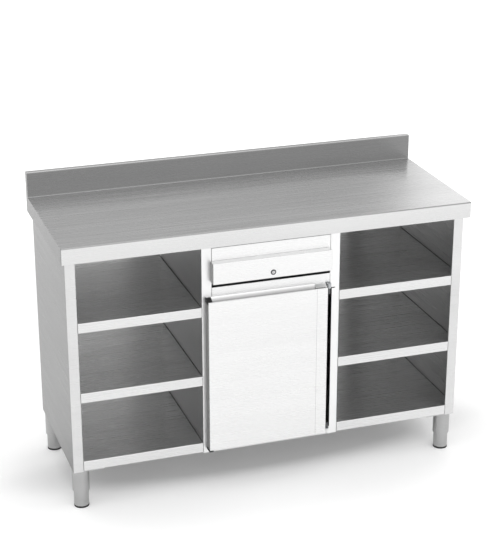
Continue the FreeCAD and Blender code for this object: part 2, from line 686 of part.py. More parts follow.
def make_lock():
    """Cam lock: rimmed barrel with its nut, turning plug with key slot, and cam."""
    bore = "lock_plug_radius + running_fit"
    rim_face = "front_face - lock_rim"
    section = [(bore, rim_face), ("lock_rim_radius - lock_bevel", rim_face),
               ("lock_rim_radius", "front_face"), ("lock_barrel_radius", "front_face"),
               ("lock_barrel_radius", "nut_rear"), (bore, "nut_rear")]
    place = ("lock_x", "0", "lock_z")
    keep(turned("lock_barrel", section, place, axis="y"))

    nut = new_body("lock_nut")
    flat = "lock_nut_width/2"
    slope = 0.57735
    hexagon = [(f"lock_x + {side}*{flat}", f"lock_z + {rise*slope}*{flat}")
               for side, rise in ((-1, -1), (0, -2), (1, -1), (1, 1), (0, 2), (-1, 1))]
    pad(nut, "XZ", "front_rear", "lock_nut_thickness", [hexagon])
    pocket(nut, "XZ", "front_rear - 1", "lock_nut_thickness + 2",
           [("lock_x", "lock_z", "lock_barrel_radius")])
    keep(nut)

    plug = turned("lock_plug", [("0", f"{rim_face} + 0.6"), ("lock_plug_radius", f"{rim_face} + 0.6"),
                                ("lock_plug_radius", "nut_rear + fit_gap"), ("0", "nut_rear + fit_gap")],
                  place, axis="y")
    square = rectangle("-cam_square/2", "-cam_square/2", "cam_square/2", "cam_square/2")
    pad(plug, "XZ", "nut_rear", "cam_rear - nut_rear", [square])
    slot = rectangle("-key_slot_width/2", "-key_slot_height/2", "key_slot_width/2", "key_slot_height/2")
    pocket(plug, "XZ", f"{rim_face} - 1", "8", [slot])
    keep(plug)

    cam = new_body("lock_cam")
    half = "cam_width/2"
    blade = rectangle(f"lock_x - {half}", f"lock_z - {half}", "lock_x + cam_reach", f"lock_z + {half}")
    pad(cam, "XZ", "cam_front", "cam_sheet", [blade])
    hole = rectangle("lock_x - cam_square/2", "lock_z - cam_square/2",
                     "lock_x + cam_square/2", "lock_z + cam_square/2")
    pocket(cam, "XZ", "cam_front - 1", "cam_sheet + 2", [hole])
    round_off(cam, "cam_width/3", [{"x": "lock_x + cam_reach", "z": f"lock_z - {half}"},
                                   {"x": "lock_x + cam_reach", "z": f"lock_z + {half}"}])
    keep(cam)


# ---------------------------------------------------------------------------------------------
# Door: skin with a finger trough, liner, core, end plugs, hinge leaves and pivots
# ---------------------------------------------------------------------------------------------
def make_door():
    # The skin's top is drawn in to a trough: a low lip in front and a taller, sloping wall behind.
    skin = new_body("door_skin")
    section = [("front_face", "door_bottom"), ("front_rear", "door_bottom"), ("front_rear", "trough_top"),
               ("trough_rear", "trough_top"), ("trough_foot", "trough_floor"),
               ("trough_front", "trough_floor"), ("trough_front", "door_top"), ("front_face", "door_top")]
    pad(skin, "YZ", "door_left", "door_right - door_left", [section])
    round_off(skin, "trough_rear_bend", [{"y": "trough_foot", "z": "trough_floor"}])
    round_off(skin, "trough_front_bend", [{"y": "trough_front", "z": "trough_floor"}])
    round_off(skin, "front_edge_radius", [{"x": "door_left", "y": "front_face"},
                                          {"x": "door_right", "y": "front_face"},
                                          {"z": "door_bottom", "y": "front_face"}])
    cavity_face = "front_face + door_sheet"
    cavity = rectangle("door_left + door_sheet", "door_bottom + door_sheet",
                       "door_right - door_sheet", "trough_floor - door_sheet")
    pocket(skin, "XZ", cavity_face, "front_thickness - door_sheet", [cavity])
    end = rectangle("trough_front", "trough_floor", "trough_rear", "door_top - cap_cover")
    pad(skin, "YZ", "door_left", "door_sheet", [end])
    keep(skin)

    liner = new_body("door_liner")
    margin = "door_sheet + fit_gap/4"
    plate = rectangle(f"door_left + {margin}", f"door_bottom + {margin}",
                      f"door_right - ({margin})", f"trough_floor - ({margin})")
    pad(liner, "XZ", "front_rear - liner_sheet", "liner_sheet", [plate])
    keep(liner)

    core = new_body("door_core")
    margin = "door_sheet + core_clearance"
    block = rectangle(f"door_left + {margin}", f"door_bottom + {margin}",
                      f"door_right - ({margin})", f"trough_floor - ({margin})")
    pad(core, "XZ", cavity_face, f"front_rear - liner_sheet - ({cavity_face})", [block])
    keep(core)

    # The plug on the opening side hooks over the end wall and fills the trough's profile.
    front, low = "trough_front + fit_gap", "trough_floor + fit_gap"
    foot, rear = "trough_foot - 2*fit_gap", "trough_rear - 2*fit_gap"
    plug = new_body("door_cap_left")
    fill = [(front, low), (foot, low), (rear, "trough_top"), (front, "door_top")]
    pad(plug, "YZ", "door_left - cap_flange", "cap_length", [fill])
    round_off(plug, "trough_rear_bend", [{"y": foot, "z": low}])
    round_off(plug, "trough_front_bend", [{"y": front, "z": low}])
    below = rectangle("trough_front", "trough_floor", "trough_rear", "door_top - cap_cover + fit_gap")
    pocket(plug, "YZ", "door_left - cap_flange", "cap_flange + door_sheet + fit_gap", [below])
    flange = [("front_face + 1", "door_top - cap_cover"), ("front_rear", "door_top - cap_cover"),
              ("front_rear", "trough_top"), ("trough_rear", "trough_top"), ("front_face + 1", "door_top")]
    pad(plug, "YZ", "door_left - cap_flange", "cap_flange - fit_gap/4", [flange])
    keep(plug)

    # A steel block on the rear wall closes the trough on the hinge side, with a groove behind the lip.
    block = new_body("door_cap_right")
    groove = "trough_front + end_block_groove"
    seat_rise = "trough_rear_bend/2"
    slope = "(trough_rear - trough_foot)/(trough_top - trough_floor)"
    seat = f"trough_floor + {seat_rise}"
    wedge = [(groove, seat), (f"{foot} + {slope}*{seat_rise}", seat), (rear, "trough_top - 1"),
             (groove, "door_top + end_block_rise")]
    pad(block, "YZ", "door_right - end_block_length", "end_block_length", [wedge])
    keep(block)


def make_hinges():
    """Pins in two fixed brackets, and leaves with knuckles on the door side."""
    upper_knuckle = "upper_bracket_bottom - pivot_play - knuckle_height"
    lower_knuckle = "lower_bracket_top + pivot_play"
    # Each bracket: its level, its height, the stile edge that carries it and its step round the stile
    seats = {"upper": ("upper_bracket_bottom", "upper_bracket_height", "opening_half",
                       "face_plane - fit_gap"),
             "lower": ("centre_floor_top", "lower_bracket_height", "jamb_edge",
                       "face_plane + fit_gap")}
    brackets = []
    for name, (bottom, height, edge, step) in seats.items():
        bracket = new_body(f"hinge_bracket_{name}")
        nose_x = "pivot_x + nose_radius"
        outline = [("pivot_x", "pivot_y"), (nose_x, "pivot_y"), (nose_x, step), (edge, step),
                   (edge, "lip_rear"), ("pivot_x", "lip_rear")]
        pad(bracket, "XY", bottom, height, [outline])
        pad(bracket, "XY", bottom, height, [("pivot_x", "pivot_y", "nose_radius")])
        pocket(bracket, "XY", bottom, height, [("pivot_x", "pivot_y", "pin_radius")])
        brackets.append(bracket)
    keep(grouped("hinge_brackets", brackets))

    pins = []
    for name, low, high in (("upper", upper_knuckle, "rail_bottom - fit_gap"),
                            ("lower", "centre_floor_top", f"{lower_knuckle} + knuckle_height")):
        section = [("0", low), ("pin_radius", low), ("pin_radius", high), ("0", high)]
        pins.append(turned(f"pin_{name}", section, ("pivot_x", "pivot_y", "0")))
    keep(grouped("hinge_pins", pins))

    leaves = []
    plate = rectangle("door_right", "front_rear - leaf_depth", "door_right + leaf_sheet", "front_rear - 1")
    arm = rectangle("door_right", "pivot_y - arm_thickness/2", "pivot_x", "pivot_y + arm_thickness/2")
    for name, low, leaf_low in (("upper", upper_knuckle, "upper_bracket_bottom - pivot_play - leaf_height"),
                                ("lower", lower_knuckle, lower_knuckle)):
        leaf = new_body(f"leaf_{name}")
        pad(leaf, "XY", leaf_low, "leaf_height", [plate])
        pad(leaf, "XY", low, "knuckle_height", [arm])
        pad(leaf, "XY", low, "knuckle_height", [("pivot_x", "pivot_y", "knuckle_radius")])
        pocket(leaf, "XY", low, "knuckle_height", [("pivot_x", "pivot_y", "pin_radius + running_fit")])
        leaves.append(leaf)
    keep(grouped("door_hinge_leaves", leaves))


def make_catch():
    magnet = new_body("catch_magnet")
    block = rectangle("-opening_half", "face_plane + catch_gap", "-opening_half + catch_width",
                      "face_plane + catch_gap + catch_depth")
    pad(magnet, "XY", "catch_top - catch_height", "catch_height", [block])
    keep(magnet)
    plate = new_body("catch_plate")
    strip = rectangle("-opening_half + 1", "front_rear",
                      "-opening_half + catch_width - 1", "front_rear + front_gap")
    pad(plate, "XY", "catch_top - catch_height + 3", "catch_height - 6", [strip])
    keep(plate)


# ---------------------------------------------------------------------------------------------
# Legs: mounting plates, tubes and adjustable feet
# ---------------------------------------------------------------------------------------------
def make_legs():
    plates = []
    tubes = []
    corners = [(side, end) for end in ("front", "rear") for side in ("left", "right")]
    for side, end in corners:
        sign = -1 if side == "left" else 1
        axis_x, axis_y = f"{sign}*leg_x", f"{end}_leg_y"
        wall_x = f"{sign}*(side_inner - fit_gap)"
        edge_x = f"{sign}*(side_inner - leg_plate_size)"
        stile_x = f"{sign}*(side_stile - fit_gap)"
        plate = new_body(f"leg_plate_{end}_{side}")
        if end == "front":
            deep, near = "lip_rear + fit_gap", "face_plane + panel_sheet + fit_gap"
            far = f"{near} + leg_plate_size"
            outline = [(edge_x, near), (stile_x, near), (stile_x, deep),
                       (wall_x, deep), (wall_x, far), (edge_x, far)]
        else:
            far = "back_inner - fit_gap"
            outline = rectangle(edge_x, f"{far} - leg_plate_size", wall_x, far)
        pad(plate, "XY", "floor_bottom - leg_plate", "leg_plate", [outline])
        plates.append(plate)

        # The tube's lower end is rolled inwards to guide the foot.
        guide = "foot_radius + running_fit"
        wall = [(guide, "leg_bottom"), ("leg_radius", "leg_bottom"), ("leg_radius", "leg_top"),
                ("leg_bore", "leg_top"), ("leg_bore", "leg_bottom + guide_height"),
                (guide, "leg_bottom + guide_height")]
        tubes.append(turned(f"leg_tube_{end}_{side}", wall, (axis_x, axis_y, "0")))
        inner = "foot_radius - foot_wall"
        shell = [(inner, "base_height"), ("foot_radius", "base_height"), ("foot_radius", "foot_height"),
                 (inner, "foot_height")]
        keep(turned(f"foot_sleeve_{end}_{side}", shell, (axis_x, axis_y, "0")))
        edge = "foot_radius + base_lip"
        base = [("0", "0"), (edge, "0"), (edge, "base_height"), ("0", "base_height")]
        keep(turned(f"foot_base_{end}_{side}", base, (axis_x, axis_y, "0")))
    keep(grouped("leg_plates", plates))
    keep(grouped("leg_tubes", tubes))


make_worktop()
make_uprights()
make_back_panels()
make_shelves()
make_rail_and_fascia()
make_runners()
make_drawer()
make_lock()
make_door()
make_hinges()
make_catch()
make_legs()
doc.recompute()

# ---------------------------------------------------------------------------------------------
# Checks and files
# ---------------------------------------------------------------------------------------------
for item in doc.Objects:
    if "Invalid" in item.State or "Error" in item.State:
        raise RuntimeError(f"{item.Label} failed: {item.State}")

os.makedirs("parts", exist_ok=True)
for piece in nodes:
    shape = piece.Shape
    if shape.isNull() or not shape.isValid() or not shape.Solids:
        raise RuntimeError(f"{piece.Label} has no valid solid")
    shape.exportStep(f"parts/{piece.Label}.step")
print(f"{len(nodes)} sub-parts written")
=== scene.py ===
"""Looks of the stainless steel coffee service counter, in metres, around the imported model."""
import math

import bmesh
import bpy
from mathutils import Matrix, Vector


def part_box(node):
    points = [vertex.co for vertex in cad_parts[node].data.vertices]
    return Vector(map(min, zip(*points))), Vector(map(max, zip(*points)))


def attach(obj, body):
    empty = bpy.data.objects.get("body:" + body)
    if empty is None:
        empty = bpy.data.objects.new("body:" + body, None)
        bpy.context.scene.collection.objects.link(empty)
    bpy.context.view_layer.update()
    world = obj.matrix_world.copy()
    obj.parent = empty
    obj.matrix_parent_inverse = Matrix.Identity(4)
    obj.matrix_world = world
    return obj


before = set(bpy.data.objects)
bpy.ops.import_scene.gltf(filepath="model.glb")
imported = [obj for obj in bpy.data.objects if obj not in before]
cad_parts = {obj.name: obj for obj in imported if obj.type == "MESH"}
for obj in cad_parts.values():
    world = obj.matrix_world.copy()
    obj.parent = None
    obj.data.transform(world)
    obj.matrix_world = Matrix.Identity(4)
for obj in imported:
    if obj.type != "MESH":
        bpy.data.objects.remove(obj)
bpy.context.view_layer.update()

MM = 0.001
PANEL_SHEET = 1.2 * MM
WORKTOP_LEVEL = 1.035
DOOR_LIP_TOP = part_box("door_cap_left")[1][2] - 11 * MM  # the lip in front of the door's finger trough
DOOR_LIP_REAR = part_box("door_skin")[0][1] + 5 * MM


# ---------------------------------------------------------------------------------------------
# Helpers for materials
# ---------------------------------------------------------------------------------------------
def linear(hex_code):
    """An sRGB hex colour as linear red, green, blue and alpha."""
    parts = [int(hex_code[i:i + 2], 16) / 255 for i in (1, 3, 5)]
    return tuple(p / 12.92 if p <= 0.04045 else ((p + 0.055) / 1.055) ** 2.4 for p in parts) + (1.0,)


def add(tree, kind, sockets=(), **settings):
    """A node with its settings; sockets gives its inputs, in order or by name, as values or links."""
    node = tree.nodes.new(kind)
    for name, value in settings.items():
        setattr(node, name, value)
    for name, value in sockets.items() if isinstance(sockets, dict) else enumerate(sockets):
        if isinstance(value, bpy.types.NodeSocket):
            tree.links.new(value, node.inputs[name])
        else:
            node.inputs[name].default_value = value
    return node


def new_material(name):
    """A material with a Principled shader, its tree and that shader."""
    material = bpy.data.materials.new(name)
    material.use_nodes = True
    tree = material.node_tree
    tree.nodes.clear()
    shader = add(tree, "ShaderNodeBsdfPrincipled")
    add(tree, "ShaderNodeOutputMaterial", {"Surface": shader.outputs[0]})
    return material, tree, shader


def region(tree, vector, limits):
    """1 where the vector lies past each limit: its axis, and where that starts and is complete."""
    amount = 1.0
    for axis, start, end in limits:
        along = add(tree, "ShaderNodeSeparateXYZ", [vector]).outputs["xyz".index(axis[-1])]
        if axis.startswith("|"):
            along = add(tree, "ShaderNodeMath", [along], operation="ABSOLUTE").outputs[0]
        step = add(tree, "ShaderNodeMapRange", (along, start, end, 0.0, 1.0)).outputs[0]
        amount = add(tree, "ShaderNodeMath", (amount, step), operation="MULTIPLY").outputs[0]
    return amount


# The way of each grain, never quite along the normal of a face
GRAINS = {"x": (1, 0.02, 0.01), "y": (0.02, 1, 0.01), "z": (0.02, 0.01, 1)}
ROUND_GRAIN = {0: 0.01, 1: 0.02, 2: 1.0}
HAIR_STRETCH = 160  # length of a hair line, in widths
BAND_MM, BAND_RUN_MM = 91, 2000  # width and length of the bands that a grinding belt leaves
CLOUD_MM = 312.5  # size of the cloudy patches that rolling leaves
CONTRAST = 0.45


def brushed_steel(name, light, dark, grain, rough, stretch=0.7, cloud=0.3, streak=0.4, bump=0.03,
                  hair_mm=2.2, painted_side_shade=None, painted_shade=()):
    """Satin ground stainless steel.

    Grinding leaves hair lines along the sheet: a soft sheen that stretches across them, faint
    streaks of lighter and darker metal, and slow clouds where the sheet was rolled.  The hair
    lines are 0.1 mm apart on the real sheet, too fine to show, so they are drawn wider.
    ends: faces square to X beyond this X, and their darker tint: painted shade, as these sides are lit
    less than the fronts.
    dull: limits of a region, and the darker tint painted on it: painted shade or a painted dimmer
    reflection.
    """
    material, tree, shader = new_material(name)
    place = add(tree, "ShaderNodeTexCoord").outputs["Object"]
    fine, broad = [1000 / hair_mm] * 3, [1000 / BAND_MM] * 3
    for axis in grain:
        fine["xyz".index(axis)] = 1000 / hair_mm / HAIR_STRETCH
        broad["xyz".index(axis)] = 1000 / BAND_RUN_MM
    lines = add(tree, "ShaderNodeMapping", {"Vector": place, "Scale": fine}).outputs[0]
    hair = add(tree, "ShaderNodeTexNoise", {"Vector": lines, "Scale": 1.0, "Detail": 3.0,
                                            "Roughness": 0.6}).outputs[0]
    wide = add(tree, "ShaderNodeMapping", {"Vector": place, "Scale": broad}).outputs[0]
    bands = add(tree, "ShaderNodeTexNoise", {"Vector": wide, "Scale": 1.0, "Detail": 3.0,
                                             "Roughness": 0.5}).outputs[0]
    clouds = add(tree, "ShaderNodeTexNoise", {"Vector": place, "Scale": 1000 / CLOUD_MM, "Detail": 2.0,
                                              "Roughness": 0.5}).outputs[0]
    streaks = add(tree, "ShaderNodeMath", (hair, streak, bands), operation="MULTIPLY_ADD").outputs[0]
    mixed = add(tree, "ShaderNodeMath", (clouds, cloud, streaks), operation="MULTIPLY_ADD").outputs[0]
    average = 0.5 * (1 + streak + cloud)
    amount = add(tree, "ShaderNodeMapRange", (mixed, average - CONTRAST, average + CONTRAST, 0.0, 1.0))
    tone = add(tree, "ShaderNodeMix", {0: amount.outputs[0], 6: linear(dark), 7: linear(light)},
               data_type="RGBA").outputs[2]

    normal = add(tree, "ShaderNodeNewGeometry").outputs["Normal"]
    tints = []
    # Faces square to X, past the given X, are painted darker: painted shade for sides lit less than the
    # fronts
    if painted_side_shade:
        beyond, tint = painted_side_shade
        square = region(tree, normal, [("|x", 0.5, 0.9)])
        outside = region(tree, place, [("|x", beyond, beyond + 0.2 * MM)])
        both = add(tree, "ShaderNodeMath", (square, outside), operation="MULTIPLY").outputs[0]
        tints.append((both, tint))
    # Each region given is painted darker: painted shade
    tints += [(region(tree, place, limits), tint) for *limits, tint in painted_shade]
    for amount, tint in tints:
        tone = add(tree, "ShaderNodeMix", {0: amount, 6: tone, 7: linear(tint)}, data_type="RGBA",
                   blend_type="MULTIPLY").outputs[2]
    tree.links.new(tone, shader.inputs["Base Color"])

    sheen = add(tree, "ShaderNodeMapRange", (hair, 0.3, 0.7, rough - 0.04, rough + 0.04))
    tree.links.new(sheen.outputs[0], shader.inputs["Roughness"])
    relief = add(tree, "ShaderNodeBump", {"Height": hair, "Strength": bump, "Distance": 0.3 * MM})
    tree.links.new(relief.outputs[0], shader.inputs["Normal"])
    if grain == "xy":  # level hair lines that run round the corners of an upright sheet
        across = add(tree, "ShaderNodeCombineXYZ", ROUND_GRAIN)
    else:
        across = add(tree, "ShaderNodeVectorMath", (GRAINS[grain], normal), operation="CROSS_PRODUCT")
    tree.links.new(across.outputs[0], shader.inputs["Tangent"])
    shader.inputs["Anisotropic"].default_value = stretch
    shader.inputs["Metallic"].default_value = 1.0
    return material


GRAIN_MM = 2.4  # the moulding grain is 0.6 mm on the real piece, and drawn four times as coarse
MOTTLE_MM = 45.5  # size of the mottle


def plain(name, colour, rough, metallic=0.0, bump=0.05, vary=0.12):
    """A moulded or plated finish: one colour with a slight mottle and a fine grain."""
    material, tree, shader = new_material(name)
    place = add(tree, "ShaderNodeTexCoord").outputs["Object"]
    grain = add(tree, "ShaderNodeTexNoise", {"Vector": place, "Scale": 1000 / GRAIN_MM,
                                             "Detail": 3.0}).outputs[0]
    mottle = add(tree, "ShaderNodeTexNoise", {"Vector": place, "Scale": 1000 / MOTTLE_MM,
                                              "Detail": 2.0}).outputs[0]
    base = linear(colour)[:3]
    darker = [c * (1 - vary) for c in base] + [1.0]
    lighter = [min(1.0, c * (1 + vary) + 0.004) for c in base] + [1.0]
    tone = add(tree, "ShaderNodeMix", {0: mottle, 6: darker, 7: lighter}, data_type="RGBA").outputs[2]
    tree.links.new(tone, shader.inputs["Base Color"])
    sheen = add(tree, "ShaderNodeMapRange", (grain, 0.3, 0.7, rough - 0.06, rough + 0.06))
    tree.links.new(sheen.outputs[0], shader.inputs["Roughness"])
    relief = add(tree, "ShaderNodeBump", {"Height": grain, "Strength": bump, "Distance": 0.2 * MM})
    tree.links.new(relief.outputs[0], shader.inputs["Normal"])
    shader.inputs["Metallic"].default_value = metallic
    return material


# ---------------------------------------------------------------------------------------------
# Materials
# ---------------------------------------------------------------------------------------------
top_low, top_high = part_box("worktop")
# The backsplash, but not its rim, its rear and its ends, is painted darker: a painted dimmer reflection of
# the room than the worktop's
splash_shade = [("z", WORKTOP_LEVEL + 0.1 * MM, WORKTOP_LEVEL + 1.2 * MM),
          ("z", top_high[2] - 0.5 * MM, top_high[2] - 1.5 * MM),
          ("y", top_high[1] - 0.55 * MM, top_high[1] - 1.55 * MM),
          ("x", top_high[0] - 0.3 * MM, top_high[0] - 0.7 * MM),
          ("x", top_low[0] + 0.3 * MM, top_low[0] + 0.7 * MM)]
# The bend at the worktop's front edge, between the worktop and the apron, painted darker to dim its
# highlight: painted shade
edge_bend_shade = [("z", WORKTOP_LEVEL - 4.5 * MM, WORKTOP_LEVEL - 3.5 * MM),
             ("z", WORKTOP_LEVEL - 0.1 * MM, WORKTOP_LEVEL - 0.4 * MM),
             ("y", top_low[1] + 6.25 * MM, top_low[1] + 4.25 * MM)]
# Wiped along its length every day: long faint streaks, and a sheen that spreads front to back
# Its ends, square to X, are painted darker: painted shade
steel_top = brushed_steel("satin_steel_worktop", "#dcdcdc", "#cacaca", "x", 0.26, streak=0.35,
                          bump=0.012, hair_mm=4, painted_side_shade=(0.77, "#8c8c8c"),
                          painted_shade=[(*splash_shade, "#9c9c9c"), (*edge_bend_shade, "#b4b4b4")])

# Pale satin fronts with next to no relief, and side faces painted darker as shade
FRONT_TONES, FRONT_SIDE_SHADE = ("#eaeaea", "#e0e0e0", "xy", 0.28), (0.0, "#868686")
steel_front = brushed_steel("satin_steel_front", *FRONT_TONES, bump=0.01, painted_side_shade=FRONT_SIDE_SHADE)
# The door's skin is the same sheet; the foot of its finger trough is painted darker, in two steps: painted
# shade in the recess
behind_lip = ("y", DOOR_LIP_REAR - 0.05 * MM, DOOR_LIP_REAR + 0.45 * MM)
steel_door = brushed_steel(
    "satin_steel_door", *FRONT_TONES, bump=0.01, painted_side_shade=FRONT_SIDE_SHADE,
    painted_shade=[(("z", DOOR_LIP_TOP + 10 * MM, DOOR_LIP_TOP + 3 * MM), behind_lip, "#c8c8c8"),
          (("z", DOOR_LIP_TOP + 3 * MM, DOOR_LIP_TOP - 4 * MM), behind_lip, "#c8c8c8")])

# Side panels: broad uneven streaks, and a grey outer face: painted shade
steel_side = brushed_steel("satin_steel_side_panel", "#dadada", "#cacaca", "xy", 0.30, streak=0.6,
                           painted_side_shade=(0.7565, "#8c8c8c"))
# Uprights and the block on the door's trough: nearly white, with a wide, even sheen
steel_upright = brushed_steel("satin_steel_upright", "#f0f0f0", "#e4e4e4", "xy", 0.36, stretch=0.5)
# Shelves: a long blurred mirror of the bay's back and sides
steel_shelf = brushed_steel("satin_steel_shelf", "#dedede", "#d4d4d4", "x", 0.27, stretch=0.85, bump=0.015)
# Rail and fascia: bright faces, and flanges painted dark: painted shade in the gaps behind them
rail_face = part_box("drawer_rail")[0][1]
steel_rail = brushed_steel("satin_steel_rail", "#ececec", "#e2e2e2", "x", 0.27, stretch=0.85,
                           painted_shade=[(("y", rail_face + 1.05 * MM, rail_face + 2.05 * MM), "#5a5a5a")])
# Back panels: level hair lines with a long upright sheen
steel_back = brushed_steel("satin_steel_back_panel", "#e0e0e0", "#d4d4d4", "xy", 0.28, stretch=0.85,
                           bump=0.015)
# Hidden sheets as they left the mill: greyer, blurred and a little uneven
steel_hidden = brushed_steel("mill_steel_hidden", "#c4c4c4", "#a6a6a6", "x", 0.42)
# Legs: tube ground round and round, so a bright line runs down it
steel_leg = brushed_steel("satin_steel_leg", "#bababa", "#a2a2a2", "xy", 0.24, stretch=0.9, cloud=0.1)
# Hinge leaves and pins: steel painted dark, the painted shade of the slot beside the door, with a dim
# sheen
hinge_slot_shade_steel = brushed_steel("hinge_steel_painted_slot_shade", "#6e6e70", "#5a5a5c", "z", 0.45)
# Zinc plate: a cool, slightly cloudy grey; chrome: nearly a mirror; the lock's rim is smoked chrome
zinc = plain("zinc_plated_steel", "#b4b6b8", 0.32, metallic=1.0, bump=0.02)
chrome = plain("chromed_lock_metal", "#d6d6d6", 0.20, metallic=1.0, bump=0.01, vary=0.05)
dark_chrome = plain("dark_chromed_lock_rim", "#5c5c5e", 0.24, metallic=1.0, bump=0.01, vary=0.05)
# Moulded plastic: matt and nearly black; joint beads: a soft grey line of painted shade; board: raw brown
# chips
black = plain("black_moulded_plastic", "#121213", 0.60)
joint_shade = plain("grey_painted_joint_shade", "#5a5a5a", 0.7)
board = plain("raw_core_board", "#8c7458", 0.85)

FINISHES = {
    "worktop": steel_top, "worktop_channels": steel_hidden, "drawer_housing": steel_hidden,
    "leg_plates": steel_hidden, "drawer_front_brackets": zinc, "drawer_front": steel_front,
    "drawer_front_liner": steel_front, "door_skin": steel_door, "door_liner": steel_front,
    "door_core": board, "door_hinge_leaves": hinge_slot_shade_steel, "hinge_brackets": zinc,
    "hinge_pins": hinge_slot_shade_steel, "catch_magnet": black, "catch_plate": zinc, "leg_tubes": steel_leg,
    "drawer_box": steel_shelf, "drawer_rail": steel_rail, "fascia": steel_rail,
    "centre_floor": steel_shelf, "lock_barrel": dark_chrome, "door_cap_left": black,
    "door_cap_right": steel_upright,
}
PREFIXES = [("side_panel", steel_side), ("partition", steel_upright), ("back_panel", steel_back),
            ("left_", steel_shelf), ("right_", steel_shelf), ("runner", zinc), ("lock", chrome),
            ("foot_sleeve", steel_leg), ("foot_base", black)]


def finish_of(node):
    """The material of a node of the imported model, by its name."""
    if node in FINISHES:
        return FINISHES[node]
    return next(material for prefix, material in PREFIXES if node.startswith(prefix))


for name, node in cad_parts.items():
    for slot in node.material_slots:
        slot.material = finish_of(name)


# ---------------------------------------------------------------------------------------------
# Small pieces: joint beads of painted shade, screws, rivets and the door's lower end cap
# ---------------------------------------------------------------------------------------------
def primitive(kind, name, **settings):
    """A primitive added at its size and place, which are then taken into its mesh."""
    bpy.ops.object.select_all(action="DESELECT")
    getattr(bpy.ops.mesh, f"primitive_{kind}_add")(**settings)
    piece = bpy.context.active_object
    piece.name = piece.data.name = name
    bpy.ops.object.transform_apply(location=True, rotation=True, scale=True)
    return piece


def pick(piece, kind, wanted):
    """Selects, in edit mode, the faces or the edges that the test wants."""
    bpy.ops.object.mode_set(mode="EDIT")
    bpy.ops.mesh.select_mode(type="FACE" if kind == "faces" else "EDGE")
    bpy.ops.mesh.select_all(action="DESELECT")
    mesh = bmesh.from_edit_mesh(piece.data)
    for item in getattr(mesh, kind):
        item.select_set(wanted(item))
    mesh.select_flush_mode()
    bmesh.update_edit_mesh(piece.data)


def middle(edge):
    """The middle of an edge."""
    return (edge.verts[0].co + edge.verts[1].co) / 2


def done(piece, material, body):
    """Shades and paints a piece, and lets it move with its body."""
    bpy.ops.object.mode_set(mode="OBJECT")
    bpy.ops.object.shade_smooth_by_angle(angle=math.radians(35))
    piece.data.materials.clear()
    piece.data.materials.append(material)
    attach(piece, body)
    return piece


def repeated(piece, name, body, shift):
    """A copy with a mesh of its own, shifted."""
    twin = piece.copy()
    twin.data = piece.data.copy()
    twin.name = twin.data.name = name
    twin.data.transform(Matrix.Translation(shift))
    bpy.context.scene.collection.objects.link(twin)
    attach(twin, body)


def joint_line(name, x, half_width, depths, levels, body):
    """A grey bead in a joint, the painted shade of a narrow gap: a bar at x with its edges rounded."""
    low = Vector((x - half_width, depths[0], levels[0]))
    high = Vector((x + half_width, depths[1], levels[1]))
    size = high - low
    bead = primitive("cube", name, size=1, location=(low + high) / 2, scale=size)
    run = max(range(3), key=lambda axis: size[axis])
    pick(bead, "edges", lambda e: abs((e.verts[0].co - e.verts[1].co)[run]) > 0.9 * size[run])
    bpy.ops.mesh.bevel(offset=0.35 * min(size), segments=2)
    done(bead, joint_shade, body)


def make_joints():
    """Beads of painted shade in the joints where shelves, rail and fascia meet the uprights, and beside
    the door's end block.
    """
    margin, thin, thick = 1 * MM, 0.2 * MM, 0.3 * MM
    face_half, edge_half, rail_half, seam_half = 0.7 * MM, 1.1 * MM, 0.4 * MM, 0.3 * MM
    lip_depth, edge_rise = 14 * MM, 1.2 * MM
    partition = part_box("partition_right")[1][0]
    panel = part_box("side_panel_right")[1][0] - PANEL_SHEET
    for side, sign, facing in (("left", -1, 1), ("right", 1, 0)):
        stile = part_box(f"side_panel_{side}")[facing][0]
        for shelf in ("floor", "shelf_lower", "shelf_upper"):
            low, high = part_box(f"{side}_{shelf}")
            for index, x in enumerate((stile, sign * partition)):
                joint_line(f"joint_{side}_{shelf}_face_{index}", x, face_half,
                           (low[1] - thick, low[1] + thin), (low[2] + margin, high[2] - margin), "carcass")
            for index, x in enumerate((sign * (panel - edge_half), sign * (partition + edge_half))):
                joint_line(f"joint_{side}_{shelf}_edge_{index}", x, edge_half,
                           (low[1] + lip_depth, high[1] - margin), (high[2] - thin, high[2] + edge_rise),
                           "carcass")
    for node in ("fascia", "drawer_rail"):
        low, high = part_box(node)
        for index, x in enumerate((low[0] - thin, high[0] + thin)):
            joint_line(f"joint_{node}_{index}", x, rail_half, (low[1] - thin, low[1] + thick),
                       (low[2] + margin, high[2] - margin), "carcass")
    low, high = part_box("door_skin")
    block_length = 42 * MM
    joint_line("joint_door_seam", high[0] - block_length, seam_half, (low[1] - 0.1 * MM, low[1] + thick),
               (low[2] + 3 * MM, DOOR_LIP_TOP - 2 * MM), "door")


def make_door_end_cap():
    """The black end cap at the foot of the door's closing edge: a hooked block, rounded in front."""
    low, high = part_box("door_skin")
    length, height, gap, outside, hook = 16 * MM, 4.5 * MM, 0.1 * MM, 1.5 * MM, 0.8 * MM
    place = Vector((low[0] - outside + length / 2, (low[1] + high[1]) / 2, low[2] - gap - height / 2))
    cap = primitive("cube", "door_lower_end_cap", size=1, location=place,
                    scale=(length, high[1] - low[1], height))
    pick(cap, "faces", lambda f: f.normal.x < -0.9)
    bpy.ops.mesh.inset(thickness=hook)
    bpy.ops.mesh.extrude_region_move(TRANSFORM_OT_translate={"value": (-hook, 0, 0)})
    pick(cap, "edges", lambda e: middle(e).y < low[1] + 1 * MM and middle(e).x < low[0])
    bpy.ops.mesh.bevel(offset=1 * MM, segments=3)
    done(cap, black, "door")


